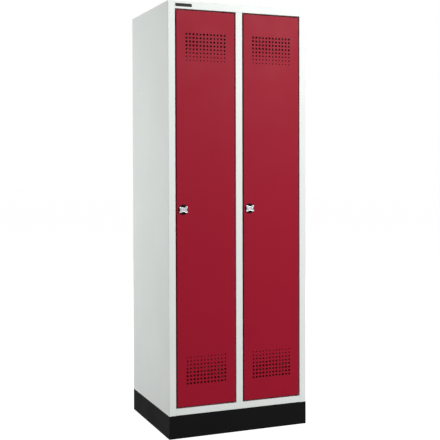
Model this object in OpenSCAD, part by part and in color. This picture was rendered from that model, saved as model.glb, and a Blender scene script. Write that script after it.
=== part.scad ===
// Clothing locker of welded sheet steel: two tall compartments side by side on a closed plinth.
// The origin is on the floor at the middle of the footprint. X runs to the right, Y to the back
// and Z up, so the doors face the negative Y side. Both doors hang on pivot pins at their right
// edge and are held by a turn latch with a padlock eye at their left edge.

/* [Body] */
// Width over the side panels
body_w = 630; // [580:5:680]
// Depth from the front frame to the back
body_d = 500; // [420:5:560]
// Height from the floor to the top panel
body_h = 1800; // [1650:5:1950]
// Thickness of the body's sheet steel
sheet = 1; // [0.8:0.1:1.4]
// Inside radius of the folds
fold_r = 0.6; // [0.4:0.1:1]
// Width of the post at each side of the front
post_w = 30; // [26:1:36]
// Width of the mullion between the doors
mullion_w = 30; // [28:1:40]
// Height of the rail above the doors
top_rail_h = 31; // [26:1:40]
// Height of the rail below the doors
bottom_rail_h = 27.5; // [22:0.5:40]
// Width of the stop lips behind the doors
lip_w = 12; // [11:0.5:13]
// Width of the flanges along the back
rear_flange = 14; // [10:1:18]
// Height of the top panel's side flanges
top_flange_h = 36; // [34:1:45]

/* [Plinth] */
// Height of the plinth
plinth_h = 96; // [70:1:130]
// Thickness of the plinth's sheet steel
plinth_sheet = 1.5; // [1:0.1:2]
// Width of the plinth's flanges
plinth_flange = 25; // [18:1:35]

/* [Doors] */
// Gap between each door and its opening
door_gap = 5.5; // [4.5:0.1:6]
// Depth of the door panel
door_t = 19; // [18:0.5:20]
// Thickness of the door's sheet steel
door_sheet = 1; // [0.8:0.1:1.2]
// Width of the lip folded in behind the door's edges
door_lip = 14; // [12:1:16]
// Width of the door stiffener's crown
stiffener_w = 36; // [24:1:60]
// Depth of the door stiffener
stiffener_d = 15; // [10:0.5:15.5]
// Diameter of a rubber door buffer
buffer_d = 7; // [5:0.5:7.5]
// Height of a rubber door buffer
buffer_t = 3.2; // [2.8:0.1:4]
// Distance from the opening's ends to the outer buffers
buffer_inset = 150; // [80:5:250]

/* [Vents] */
// Side of a square vent hole in the outer rows
vent_hole = 8; // [6:0.5:9]
// Side of a vent hole in the innermost row
vent_hole_small = 4.5; // [3:0.5:5.5]
// Distance between the centres of vent holes
vent_pitch = 15.4; // [12:0.1:17]
// Vent holes in one row
vent_cols = 12; // [6:1:13]
// Rows of vent holes in one field
vent_rows = 8; // [6:1:9]
// Outer rows whose holes have the full size
vent_full_rows = 4; // [1:1:5]
// Distance from the door's edge to its first row of vent holes
vent_inset = 96; // [60:1:130]

/* [Hinges] */
// Diameter of the pivot pins
pin_d = 6; // [5:0.5:6.5]
// Distance from the door's hinge edge to the pivot
pin_inset = 8; // [7.5:0.25:9.5]
// Distance from the door's front to the pivot
pin_setback = 7; // [7:0.1:7.5]
// How far a pivot pin reaches into the door
pin_reach = 8; // [6:0.5:12]
// Thickness of the wall of a hinge bush
bush_wall = 2; // [1.5:0.1:2]
// Thickness of a pivot pin's head
pin_head_t = 2.5; // [2:0.1:4]

/* [Latch] */
// Height of the latches above the floor
latch_z = 945; // [850:1:1050]
// Distance from the door's free edge to the latch
latch_inset = 27.5; // [25:0.5:28]
// Diameter of the latch's round base
rosette_d = 43; // [38:1:45]
// Thickness of the latch's round base
rosette_t = 1.5; // [1:0.1:2]
// Width of the knob over its wings
knob_w = 37; // [34:1:38]
// Height of the knob's wings
knob_h = 25; // [23:1:30]
// Height of the knob's waist
knob_waist = 17.5; // [12:0.5:19]
// Thickness of the knob's wings
knob_t = 5; // [4:0.5:6]
// Height of the grip fin above the wings
fin_h = 10; // [9:0.5:10.5]
// Thickness of the grip fin
fin_t = 4.5; // [3.5:0.5:6]
// Length of the grip fin
fin_w = 30; // [24:1:32]
// Diameter of the padlock eye in the grip fin
eye_d = 7; // [5:0.5:7]
// Diameter of the latch spindle
spindle_d = 8; // [7:0.5:10]
// Diameter of the barrel that holds the spindle
barrel_d = 18; // [15:0.5:20]
// Width across the flats of the barrel's nut
nut_af = 24; // [22:0.5:27]
// Thickness of the barrel's nut
nut_t = 4; // [3:0.5:6]
// Thickness of the plate behind the latch
latch_plate_t = 2; // [1:0.1:3]
// Width of the plate behind the latch
latch_plate_w = 44; // [36:1:46]
// Height of the plate behind the latch
latch_plate_h = 90; // [60:1:140]
// Reach of the latch cam from the spindle's centre
cam_reach = 26; // [24:0.5:28]
// Width of the latch cam
cam_w = 12; // [10:0.5:14]
// Thickness of the latch cam
cam_t = 3; // [2:0.1:4]

/* [Inside] */
// Height of the hat shelf above the floor
shelf_z = 1475; // [1350:5:1520]
// Distance from the stop lips to the hat shelf
shelf_setback = 8; // [2:1:40]
// Height of the hat shelf's front fold
shelf_fold = 20; // [15:1:30]
// Drop from the hat shelf to the middle of the clothes rail
rail_drop = 60; // [50:1:90]
// Height of the clothes rail's oval section
rail_h = 30; // [25:1:35]
// Width of the clothes rail's oval section
rail_w = 15; // [12:1:20]
// Wall of the clothes rail
rail_wall = 1.2; // [1:0.1:2]
// Distance between the hooks at rest
hook_pitch = 80; // [72:1:90]
// Radius of each hook's bend
hook_r = 16; // [12:1:20]
// Width of the hook's bar
hook_bar = 5; // [4:0.5:7]
// Length of the hook's stem
hook_stem = 20; // [12:1:30]

/* [Fittings] */
// Diameter of a rivet's head
rivet_head_d = 7; // [6:0.5:9]
// Diameter of a rivet's shank
rivet_d = 4; // [3:0.5:5]
// Distance of the shelf rivets from the middle of the depth
shelf_rivet_y = 159; // [120:1:170]
// Distance of the top rivets from the middle of the depth
top_rivet_y = 97; // [60:1:160]
// Distance from the top of the locker to the top rivets
top_rivet_drop = 29; // [20:1:29]
// Width of the blank name plate
plate_w = 72; // [40:1:100]
// Height of the blank name plate
plate_h = 13; // [8:1:20]
// Thickness of the blank name plate
plate_t = 1; // [0.6:0.1:1.5]
// Distance from the locker's side to the name plate
plate_inset = 32; // [20:1:60]
// Diameter of the wall-fixing holes
wall_hole_d = 9; // [6:0.5:12]
// Distance between the wall-fixing holes
wall_hole_gap = 300; // [200:5:400]
// Distance from the top of the locker to the wall-fixing holes
wall_hole_drop = 100; // [60:5:200]

/* [Hidden] */

$fn = 48;
// Length by which a cutting tool runs past the surface that it cuts
past = 1;
// Straight steps in each rounded fold
fold_steps = 4;
// Clearance where a moving piece rests near its seat
seat_gap = 0.3;
// Radial clearance of a pin or shaft that turns in its bore
running_fit = 0.05;
// Radial clearance of a fixed piece in its hole
hole_fit = 0.1;

// Faces and edges of the body
half_w = body_w / 2;
front_y = -body_d / 2;
back_y = body_d / 2;
opening_w = (body_w - 2 * post_w - mullion_w) / 2;
opening_low = plinth_h + bottom_rail_h;
opening_high = body_h - top_rail_h;
opening_left = -half_w + post_w;
bay_pitch = opening_w + mullion_w;
stop_y = front_y + door_t + seat_gap + buffer_t;
lip_back_y = stop_y + sheet;
back_in_y = back_y - 2 * sheet;
under_top = body_h - sheet;
wall_in = half_w - sheet;
partition_x = sheet / 2;

// Faces of the left door
door_left = opening_left + door_gap;
door_right = opening_left + opening_w - door_gap;
door_mid = (door_left + door_right) / 2;
door_low = opening_low + door_gap;
door_high = opening_high - door_gap;
door_back_y = front_y + door_t;
skin_back_y = front_y + door_sheet;
pivot = [door_right - pin_inset, front_y + pin_setback];

// Places along the left latch's axis
latch_x = door_left + latch_inset;
knob_back_y = front_y - rosette_t - seat_gap;
knob_front_y = knob_back_y - knob_t;
plate_back_y = skin_back_y + latch_plate_t;
cam_y = lip_back_y + seat_gap + running_fit;
barrel_back_y = cam_y - seat_gap;
cam_square = spindle_d * 0.7;
screw_d = spindle_d / 2;
screw_reach = 8;
screw_head_t = 3;

// Sizes inside the compartments
hooks = 3;
shelf_front_y = lip_back_y + shelf_setback;
shelf_rear_y = back_in_y - sheet - fold_r;
shelf_side_h = 16;
shelf_return = 10;
rail_z = shelf_z - rail_drop;
bay_mid = -(wall_in + partition_x) / 2;
pin_head_d = pin_d + 4;
socket_wall = 2;
socket_plate = 2;
socket_reach = 10;
socket_fit = 0.2;
socket_rim = 5;
hook_loop = 2.5;
hook_loop_w = 12;
hook_tip = 6;
hook_mid_z = rail_z - rail_h / 2 - seat_gap - hook_loop - hook_stem;
rivet_head_t = 1.2;
rivet_tail_t = 1.5;
rivet_tail_d = rivet_d + 2;
shelf_rivet_z = shelf_z - sheet - shelf_side_h / 2;
top_rivet_z = body_h - top_rivet_drop;
knob_notch_r = 13;
knob_side_dip = 3;
knob_side_r = 14;
buffer_zs = [opening_low + buffer_inset, latch_z + buffer_inset, opening_high - buffer_inset];

body_grey = "#d9dddb";
door_red = "#97243a";
plinth_black = "#1b1b1c";
bright = "#c8cbce";
zinc = "#a7abad";
dark = "#222326";

// Box between its lowest and highest corners
module block(low, high) {
    translate(low) cube(high - low);
}

// Extrudes an X-Y outline upwards
module along_z(from, to) {
    translate([0, 0, from]) linear_extrude(to - from) children();
}

// Extrudes a Y-Z outline to the right
module along_x(from, to) {
    translate([from, 0, 0]) rotate([90, 0, 90]) linear_extrude(to - from) children();
}

// Extrudes an X-Z outline to the back
module along_y(from, to) {
    translate([0, to, 0]) rotate([90, 0, 0]) linear_extrude(to - from) children();
}

// Round bar along Y
module bar_y(x, z, from, to, d) {
    translate([x, from, z]) rotate([-90, 0, 0]) cylinder(h = to - from, d = d);
}

// Round bar along X
module bar_x(y, z, from, to, d) {
    translate([from, y, z]) rotate([0, 90, 0]) cylinder(h = to - from, d = d);
}

function left_of(d) = [-d.y, d.x];
function unit(v) = v / norm(v);
function turned(d, a) = [d.x * cos(a) - d.y * sin(a), d.x * sin(a) + d.y * cos(a)];
function arc(c, r, from, to) = [
    for (k = [0 : fold_steps])
        let (a = from + (to - from) * k / fold_steps)
        [c.x + r * cos(a), c.y + r * sin(a)]];

// One rounded corner of a folded sheet: points of its face line, each with the direction in
// which the sheet's thickness lies, to the left of the line
function fold_corner(p, d_in, d_out, t) =
    let (side = sign(cross(d_in, d_out)),
         a = acos(d_in * d_out),
         r = side > 0 ? fold_r + t : fold_r,
         start = p - r * tan(a / 2) * d_in,
         c = start + side * r * left_of(d_in))
    [for (k = [0 : fold_steps])
        let (n = left_of(turned(d_in, side * a * k / fold_steps)))
        [c - side * r * n, n]];

function face_line(path, t) =
    let (last = len(path) - 1)
    [for (i = [0 : last])
        let (d_in = unit(i == 0 ? path[1] - path[0] : path[i] - path[i - 1]),
             d_out = unit(i == last ? path[i] - path[i - 1] : path[i + 1] - path[i]))
        each i == 0 || i == last ? [[path[i], left_of(d_in)]] : fold_corner(path[i], d_in, d_out, t)];

// Section of a sheet folded along a path, with its thickness to the left of the path
module folded(path, t = sheet) {
    line = face_line(path, t);
    inner = [for (i = [len(line) - 1 : -1 : 0]) line[i][0] + t * line[i][1]];
    polygon(concat([for (q = line) q[0]], inner));
}

// Left door's pieces, moved to their bay: 0 is the left door and 1 the right one
module in_bay(bay) {
    translate([bay * bay_pitch, 0, 0]) children();
}

// Left wall, its front post, the stop lip and the flange along the back, folded from one sheet
module side_panel() {
    lip_end = opening_left + lip_w + past;
    difference() {
        along_z(plinth_h, under_top) folded([
            [-half_w + rear_flange, back_y],
            [-half_w, back_y],
            [-half_w, front_y],
            [opening_left, front_y],
            [opening_left, stop_y],
            [opening_left + lip_w, stop_y]]);
        block([opening_left, stop_y - past, plinth_h - past], [lip_end, lip_back_y + past, opening_low]);
        block([opening_left, stop_y - past, opening_high - lip_w], [lip_end, lip_back_y + past, body_h]);
        wall_rivet_holes();
    }
}

module wall_rivet_holes() {
    for (s = [-1, 1]) {
        bar_x(s * shelf_rivet_y, shelf_rivet_z, -half_w - past, -wall_in + past, rivet_d + 2 * hole_fit);
        bar_x(s * top_rivet_y, top_rivet_z, -half_w - past, -wall_in + past, rivet_d + 2 * hole_fit);
    }
}

module left_side_panel() {
    color(body_grey) side_panel();
}

module right_side_panel() {
    color(body_grey) mirror([1, 0, 0]) side_panel();
}

// Post between the doors, with a stop lip on each side. Its top end is cut back behind the door,
// where the top rail's own stop lip hangs down.
module centre_mullion() {
    m = mullion_w / 2;
    color(body_grey) difference() {
        along_z(opening_low, opening_high) folded([
            [-m - lip_w, stop_y],
            [-m, stop_y],
            [-m, front_y],
            [m, front_y],
            [m, stop_y],
            [m + lip_w, stop_y]]);
        block([-m - lip_w - past, stop_y - fold_r, opening_high - lip_w],
            [m + lip_w + past, lip_back_y + past, body_h]);
    }
}

// Wall between the compartments. Its front flange lies on the back of the mullion's left lip.
module centre_partition() {
    color(body_grey) difference() {
        along_z(opening_low, under_top) folded([
            [-mullion_w / 2 - lip_w / 2, lip_back_y],
            [partition_x, lip_back_y],
            [partition_x, back_in_y],
            [-rear_flange, back_in_y]]);
        for (s = [-1, 1])
            bar_x(s * shelf_rivet_y, shelf_rivet_z, -sheet - past, sheet + past, rivet_d + 2 * hole_fit);
    }
}

// Top with the rail above the doors folded from its front edge
module top_panel() {
    color(body_grey) difference() {
        union() {
            along_x(opening_left, -opening_left) folded([
                [back_y, body_h - rear_flange],
                [back_y, body_h],
                [front_y, body_h],
                [front_y, opening_high],
                [stop_y, opening_high],
                [stop_y, opening_high - lip_w]]);
            for (side = [0, 1]) mirror([side, 0, 0]) {
                block([-half_w, front_y, under_top], [opening_left, back_y, body_h]);
                block([-wall_in, lip_back_y, body_h - top_flange_h],
                    [-wall_in + sheet, shelf_rear_y, under_top + sheet / 2]);
            }
        }
        for (side = [0, 1], s = [-1, 1])
            mirror([side, 0, 0])
                bar_x(s * top_rivet_y, top_rivet_z, -wall_in - past, -wall_in + sheet + past,
                    rivet_d + 2 * hole_fit);
        for (bay = [0, 1])
            in_bay(bay)
                translate([pivot.x, pivot.y, opening_high - past])
                    cylinder(h = sheet + 2 * past, d = pin_d + 2 * hole_fit);
    }
}

// Floor of the compartments with the rail below the doors folded from its front edge
module floor_panel() {
    color(body_grey) union() {
        along_x(opening_left, -opening_left) folded([
            [back_in_y, opening_low - rear_flange],
            [back_in_y, opening_low],
            [front_y, opening_low],
            [front_y, plinth_h],
            [front_y + plinth_flange, plinth_h]]);
        for (side = [0, 1])
            mirror([side, 0, 0])
                block([-wall_in, lip_back_y, opening_low - sheet], [opening_left, back_in_y, opening_low]);
    }
}

module back_panel() {
    color(body_grey) difference() {
        block([-wall_in + fold_r, back_in_y, plinth_h],
            [wall_in - fold_r, back_in_y + sheet, under_top - fold_r]);
        for (s = [-1, 1])
            bar_y(s * wall_hole_gap / 2, body_h - wall_hole_drop, back_in_y - past, back_y + past,
                wall_hole_d);
    }
}

// Plinth before it is parted into four mitred lengths
module plinth_ring() {
    difference() {
        block([-half_w, front_y, 0], [half_w, back_y, plinth_h]);
        block([-half_w + plinth_sheet, front_y + plinth_sheet, plinth_sheet],
            [half_w - plinth_sheet, back_y - plinth_sheet, plinth_h - plinth_sheet]);
        block([-half_w + plinth_flange, front_y + plinth_flange, -past],
            [half_w - plinth_flange, back_y - plinth_flange, plinth_h + past]);
    }
}

// One length of the plinth: 0 front, 1 right, 2 back and 3 left
module plinth_length(i) {
    f = plinth_flange + past;
    outer = [[-half_w, front_y], [half_w, front_y], [half_w, back_y], [-half_w, back_y]];
    inner = [for (c = outer) [c.x - sign(c.x) * f, c.y - sign(c.y) * f]];
    j = (i + 1) % 4;
    color(plinth_black) intersection() {
        plinth_ring();
        along_z(-past, plinth_h + past) polygon([outer[i], outer[j], inner[j], inner[i]]);
    }
}

// Left hat shelf, with a stiff front fold and flanges riveted to the walls
module hat_shelf() {
    color(body_grey) difference() {
        union() {
            along_x(-wall_in, -partition_x) folded([
                [shelf_rear_y, shelf_z - rear_flange],
                [shelf_rear_y, shelf_z],
                [shelf_front_y, shelf_z],
                [shelf_front_y, shelf_z - shelf_fold],
                [shelf_front_y + shelf_return, shelf_z - shelf_fold]]);
            for (x = [-wall_in, -partition_x - sheet])
                block([x, shelf_front_y + shelf_return, shelf_z - sheet - shelf_side_h],
                    [x + sheet, shelf_rear_y - rear_flange, shelf_z - sheet / 2]);
        }
        for (s = [-1, 1])
            bar_x(s * shelf_rivet_y, shelf_rivet_z, -half_w, past, rivet_d + 2 * hole_fit);
    }
}

module oval(w, h) {
    for (s = [-1, 1])
        translate([0, s * (h - w) / 2]) circle(d = w);
    square([w, h - w], center = true);
}

// Oval outline around the clothes rail's section, larger than it by a margin all round
module rail_oval(margin) {
    translate([0, rail_z]) oval(rail_w + 2 * margin, rail_h + 2 * margin);
}

module clothes_rail() {
    color(bright)
        along_x(-wall_in + socket_plate, -partition_x - socket_plate)
            difference() {
                rail_oval(0);
                rail_oval(-rail_wall);
            }
}

// Socket for a rail's left end, welded to the wall at x
module rail_bracket(x) {
    along_x(x, x + socket_plate) rail_oval(socket_wall + socket_rim);
    along_x(x + socket_plate, x + socket_plate + socket_reach) difference() {
        rail_oval(socket_fit + socket_wall);
        rail_oval(socket_fit);
    }
}

module rail_brackets() {
    color(zinc) for (side = [0, 1]) mirror([side, 0, 0]) {
        rail_bracket(-wall_in);
        mirror([1, 0, 0]) rail_bracket(partition_x);
    }
}

// Rivet along X that clamps a grip of sheets from x, with its head on the low side
module rivet(x, y, z, grip) {
    translate([x - rivet_head_t, y, z])
        rotate([0, 90, 0])
            cylinder(h = rivet_head_t, d1 = rivet_head_d * 0.6, d2 = rivet_head_d);
    bar_x(y, z, x - rivet_head_t / 2, x + grip + rivet_tail_t / 2, rivet_d);
    bar_x(y, z, x + grip, x + grip + rivet_tail_t, rivet_tail_d);
}

module shelf_rivets() {
    color(zinc) for (s = [-1, 1]) {
        rivet(-half_w, s * shelf_rivet_y, shelf_rivet_z, 2 * sheet);
        mirror([1, 0, 0]) rivet(-half_w, s * shelf_rivet_y, shelf_rivet_z, 2 * sheet);
        rivet(-partition_x - sheet, s * shelf_rivet_y, shelf_rivet_z, 3 * sheet);
    }
}

module top_rivets() {
    color(zinc) for (side = [0, 1], s = [-1, 1])
        mirror([side, 0, 0]) rivet(-half_w, s * top_rivet_y, top_rivet_z, 2 * sheet);
}

// Headed pins that drop through the top rail into the doors
module upper_hinge_pins() {
    color(zinc) for (bay = [0, 1]) in_bay(bay) translate([pivot.x, pivot.y, 0]) {
        translate([0, 0, opening_high + sheet]) cylinder(h = pin_head_t, d = pin_head_d);
        translate([0, 0, door_high - pin_reach])
            cylinder(h = opening_high + sheet + pin_head_t / 2 - door_high + pin_reach, d = pin_d);
    }
}

// Pins welded to the floor rail that carry the doors
module lower_hinge_pins() {
    color(zinc) for (bay = [0, 1])
        in_bay(bay)
            translate([pivot.x, pivot.y, opening_low])
                cylinder(h = door_gap + pin_reach, d = pin_d);
}

module door_buffers() {
    x = opening_left + lip_w - buffer_d / 2 - running_fit;
    color(dark) for (bay = [0, 1], z = buffer_zs)
        in_bay(bay) bar_y(x, z, stop_y - buffer_t, stop_y, buffer_d);
}

// Blank plate on the front frame
module name_plate() {
    z = body_h - top_rail_h / 2;
    x = -half_w + plate_inset;
    color(dark)
        block([x, front_y - plate_t, z - plate_h / 2], [x + plate_w, front_y, z + plate_h / 2]);
}

// Outline with both front corners rounded: a runs across and b from the front to the back
function rounded_front(a0, a1, b0, b1, r) = concat(
    [[a0, b1]],
    arc([a0 + r, b0 + r], r, 180, 270),
    arc([a1 - r, b0 + r], r, 270, 360),
    [[a1, b1]]);

// Left door's outer shape, drawn in by an inset on every side
module door_shape(inset, r) {
    plan = rounded_front(door_left + inset, door_right - inset, front_y + inset, door_back_y - inset, r);
    side = rounded_front(door_low + inset, door_high - inset, front_y + inset, door_back_y - inset, r);
    intersection() {
        along_z(door_low + inset, door_high - inset) polygon(plan);
        along_x(door_left + inset, door_right - inset) polygon([for (p = side) [p.y, p.x]]);
    }
}

// Side of the vent holes in one row. Past the full rows they shrink towards the innermost row
function vent_side(row) = vent_hole
    - max(0, row + 1 - vent_full_rows) * (vent_hole - vent_hole_small) / (vent_rows - vent_full_rows);

// Square holes of one vent field, from its outermost row towards the middle of the door
module vent_field(z, step) {
    for (row = [0 : vent_rows - 1], col = [0 : vent_cols - 1])
        translate([door_mid + (col - (vent_cols - 1) / 2) * vent_pitch, front_y + door_sheet / 2, z + row * step])
            cube([vent_side(row), door_sheet + past, vent_side(row)], center = true);
}

// Door panel: a shallow tray with lips behind its edges and a vent field at the top and bottom
module door_panel() {
    color(door_red) difference() {
        door_shape(0, fold_r + door_sheet);
        door_shape(door_sheet, fold_r);
        block([door_left + door_lip, door_back_y - 2 * door_sheet, door_low + door_lip],
            [door_right - door_lip, door_back_y + past, door_high - door_lip]);
        vent_field(door_high - vent_inset, -vent_pitch);
        vent_field(door_low + vent_inset, vent_pitch);
        bar_y(latch_x, latch_z, front_y - past, skin_back_y + past, barrel_d + 2 * hole_fit);
        for (z = [door_low - past, door_high - door_sheet - past])
            translate([pivot.x, pivot.y, z])
                cylinder(h = door_sheet + 2 * past, d = bush_d() + 2 * hole_fit);
    }
}

// Hat-section stiffener that stands on the inside of the door's skin
module door_stiffener() {
    low = door_low + vent_inset + vent_rows * vent_pitch + vent_hole;
    high = door_high - vent_inset - vent_rows * vent_pitch - vent_hole;
    m = stiffener_w / 2;
    crown_y = front_y + stiffener_d - sheet;
    color(door_red) along_z(low, high) folded([
        [door_mid - m - lip_w, skin_back_y],
        [door_mid - m, skin_back_y],
        [door_mid - m, crown_y],
        [door_mid + m, crown_y],
        [door_mid + m, skin_back_y],
        [door_mid + m + lip_w, skin_back_y]]);
}

function bush_d() = pin_d + 2 * bush_wall;

// Bushes in the door's top and bottom folds, each with a collar in the door's gap
module hinge_bushes() {
    collar_t = door_gap - seat_gap;
    color(dark) for (end = [0, 1]) {
        edge = end == 0 ? door_low : door_high;
        translate([pivot.x, pivot.y, edge]) mirror([0, 0, end]) difference() {
            union() {
                translate([0, 0, -collar_t]) cylinder(h = collar_t, d = bush_d() + 2);
                cylinder(h = pin_reach + past, d = bush_d());
            }
            translate([0, 0, -collar_t - past])
                cylinder(h = collar_t + pin_reach + 3 * past, d = pin_d + 2 * running_fit);
        }
    }
}

// Plate behind the skin that spreads the latch's load
module latch_plate() {
    color(zinc) difference() {
        block([latch_x - latch_plate_w / 2, skin_back_y, latch_z - latch_plate_h / 2],
            [latch_x + latch_plate_w / 2, plate_back_y, latch_z + latch_plate_h / 2]);
        bar_y(latch_x, latch_z, front_y, plate_back_y + past, barrel_d + 2 * hole_fit);
    }
}

// Fixed barrel with the round base that shows on the door's front
module latch_barrel() {
    color(dark) difference() {
        union() {
            bar_y(latch_x, latch_z, front_y - rosette_t, front_y, rosette_d);
            bar_y(latch_x, latch_z, front_y - rosette_t / 2, barrel_back_y, barrel_d);
        }
        bar_y(latch_x, latch_z, front_y - rosette_t - past, barrel_back_y + past,
            spindle_d + 2 * running_fit);
    }
}

// Nut that clamps the barrel to the door
module barrel_nut() {
    color(zinc) difference() {
        translate([latch_x, plate_back_y, latch_z])
            rotate([-90, 0, 0]) cylinder(h = nut_t, d = nut_af / cos(30), $fn = 6);
        bar_y(latch_x, latch_z, plate_back_y - past, plate_back_y + nut_t + past, barrel_d + 2 * hole_fit);
    }
}

// Outline of the knob's wings: a plate with notches above and below and shallow dips at its ends
module knob_outline() {
    difference() {
        intersection() {
            square([knob_w, knob_h], center = true);
            circle(r = norm([knob_w, knob_h]) / 2 - knob_side_dip / 2);
        }
        for (s = [-1, 1]) {
            translate([0, s * (knob_waist / 2 + knob_notch_r)]) circle(r = knob_notch_r);
            translate([s * (knob_w / 2 - knob_side_dip + knob_side_r), 0]) circle(r = knob_side_r);
        }
    }
}

// Knob with a grip fin that holds the padlock eye
module latch_knob() {
    color(bright) difference() {
        union() {
            along_y(knob_front_y, knob_back_y) translate([latch_x, latch_z]) knob_outline();
            translate([latch_x, knob_front_y, latch_z - fin_t / 2]) linear_extrude(fin_t) intersection() {
                translate([-fin_w / 2, -fin_h]) square([fin_w, fin_h + knob_t / 2]);
                translate([0, fin_w / 2 - fin_h]) circle(d = fin_w);
            }
        }
        translate([latch_x, knob_front_y - fin_h / 2, latch_z - fin_t])
            cylinder(h = 2 * fin_t, d = eye_d);
    }
}

// Spindle from the knob to the cam, with a square end that drives the cam
module latch_spindle() {
    color(zinc) difference() {
        union() {
            bar_y(latch_x, latch_z, knob_back_y, cam_y, spindle_d);
            block([latch_x - cam_square / 2, cam_y - past, latch_z - cam_square / 2],
                [latch_x + cam_square / 2, cam_y + cam_t, latch_z + cam_square / 2]);
        }
        bar_y(latch_x, latch_z, cam_y + cam_t - screw_reach, cam_y + cam_t + past, screw_d + 2 * hole_fit);
    }
}

// Cam that hangs down when the latch is open and turns behind the stop lip when it is shut
module latch_cam() {
    color(zinc) along_y(cam_y, cam_y + cam_t) translate([latch_x, latch_z]) difference() {
        union() {
            circle(d = cam_w);
            translate([-cam_w / 2, -cam_reach + cam_w / 2]) square([cam_w, cam_reach - cam_w / 2]);
            translate([0, -cam_reach + cam_w / 2]) circle(d = cam_w);
        }
        square(cam_square + 2 * hole_fit, center = true);
    }
}

module cam_screw() {
    color(zinc) {
        bar_y(latch_x, latch_z, cam_y + cam_t, cam_y + cam_t + screw_head_t, cam_w - 2);
        bar_y(latch_x, latch_z, cam_y + cam_t - screw_reach + past, cam_y + cam_t + past, screw_d);
    }
}

// Double coat hook that slides along the clothes rail, in the left compartment
module coat_hook(i) {
    x = bay_mid + (i - (hooks + 1) / 2) * hook_pitch;
    color(dark) union() {
        along_x(x - hook_loop_w / 2, x + hook_loop_w / 2) difference() {
            rail_oval(seat_gap + hook_loop);
            rail_oval(seat_gap);
        }
        along_x(x - hook_bar / 2, x + hook_bar / 2) translate([0, hook_mid_z]) hook_outline();
    }
}

module hook_outline() {
    translate([-hook_bar / 2, 0]) square([hook_bar, hook_stem + hook_loop / 2]);
    for (s = [-1, 1]) {
        translate([s * hook_r, 0]) difference() {
            circle(r = hook_r + hook_bar / 2);
            circle(r = hook_r - hook_bar / 2);
            translate([-2 * hook_r, 0]) square([4 * hook_r, 2 * hook_r]);
        }
        translate([s * 2 * hook_r - hook_bar / 2, -past]) square([hook_bar, hook_tip + past]);
        translate([s * 2 * hook_r, hook_tip]) circle(d = hook_bar + 2);
    }
}

// The right compartment's inner fittings are the left one's in the mirror
module opposite() {
    mirror([1, 0, 0]) children();
}

left_side_panel();
right_side_panel();
centre_mullion();
centre_partition();
top_panel();
floor_panel();
back_panel();
plinth_length(0);  // plinth_front
plinth_length(1);  // plinth_right
plinth_length(2);  // plinth_back
plinth_length(3);  // plinth_left
hat_shelf();  // left_hat_shelf
opposite() hat_shelf();  // right_hat_shelf
clothes_rail();  // left_clothes_rail
opposite() clothes_rail();  // right_clothes_rail
rail_brackets();
shelf_rivets();
top_rivets();
upper_hinge_pins();
lower_hinge_pins();
door_buffers();
name_plate();
in_bay(0) door_panel();  // left_door_panel
in_bay(0) door_stiffener();  // left_door_stiffener
in_bay(0) latch_plate();  // left_latch_plate
in_bay(0) hinge_bushes();  // left_hinge_bushes
in_bay(0) latch_barrel();  // left_latch_barrel
in_bay(0) barrel_nut();  // left_barrel_nut
in_bay(0) latch_knob();  // left_latch_knob
in_bay(0) latch_spindle();  // left_latch_spindle
in_bay(0) latch_cam();  // left_latch_cam
in_bay(0) cam_screw();  // left_cam_screw
in_bay(1) door_panel();  // right_door_panel
in_bay(1) door_stiffener();  // right_door_stiffener
in_bay(1) latch_plate();  // right_latch_plate
in_bay(1) hinge_bushes();  // right_hinge_bushes
in_bay(1) latch_barrel();  // right_latch_barrel
in_bay(1) barrel_nut();  // right_barrel_nut
in_bay(1) latch_knob();  // right_latch_knob
in_bay(1) latch_spindle();  // right_latch_spindle
in_bay(1) latch_cam();  // right_latch_cam
in_bay(1) cam_screw();  // right_cam_screw
coat_hook(1);  // left_hook_1
coat_hook(2);  // left_hook_2
coat_hook(3);  // left_hook_3
opposite() coat_hook(3);  // right_hook_1
opposite() coat_hook(2);  // right_hook_2
opposite() coat_hook(1);  // right_hook_3
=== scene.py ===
"""Clothing locker with two compartments, finished over its packed construction model."""

import math

import bmesh
import bpy
from bpy.props import FloatProperty, FloatVectorProperty, IntProperty, PointerProperty
from mathutils import Matrix, Vector


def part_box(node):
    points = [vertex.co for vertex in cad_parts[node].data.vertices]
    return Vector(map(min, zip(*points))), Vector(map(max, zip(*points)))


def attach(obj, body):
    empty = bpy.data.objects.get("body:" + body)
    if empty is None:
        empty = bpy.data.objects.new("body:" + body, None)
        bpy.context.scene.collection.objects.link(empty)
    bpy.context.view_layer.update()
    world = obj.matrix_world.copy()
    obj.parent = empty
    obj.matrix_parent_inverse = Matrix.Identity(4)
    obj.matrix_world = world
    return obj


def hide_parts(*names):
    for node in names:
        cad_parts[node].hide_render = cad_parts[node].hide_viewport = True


bl_info = {
    "name": "Clothing Locker",
    "version": (1, 0, 0),
    "blender": (4, 5, 0),
    "location": "3D View > Sidebar > Locker",
    "description": "Finishes a clothing locker and lights it on a plain floor",
    "category": "Object",
}

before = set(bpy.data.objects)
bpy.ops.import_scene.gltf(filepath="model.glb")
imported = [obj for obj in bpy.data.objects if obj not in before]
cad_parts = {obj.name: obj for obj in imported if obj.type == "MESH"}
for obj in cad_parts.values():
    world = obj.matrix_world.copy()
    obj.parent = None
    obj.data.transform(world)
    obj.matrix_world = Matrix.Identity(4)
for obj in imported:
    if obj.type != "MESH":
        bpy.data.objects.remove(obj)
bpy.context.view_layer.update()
SIDES = ("left", "right")

# camera: place in metres, turn in degrees, width and height of its sensor, and its shift
EYE_PLACE = (-1.495, -3.647, 1.1173)
EYE_TURN = (88.8921, 0.1626, -21.6483)
EYE_SENSOR = (31, 36)
EYE_SHIFT = (0.03, -0.08)

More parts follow.
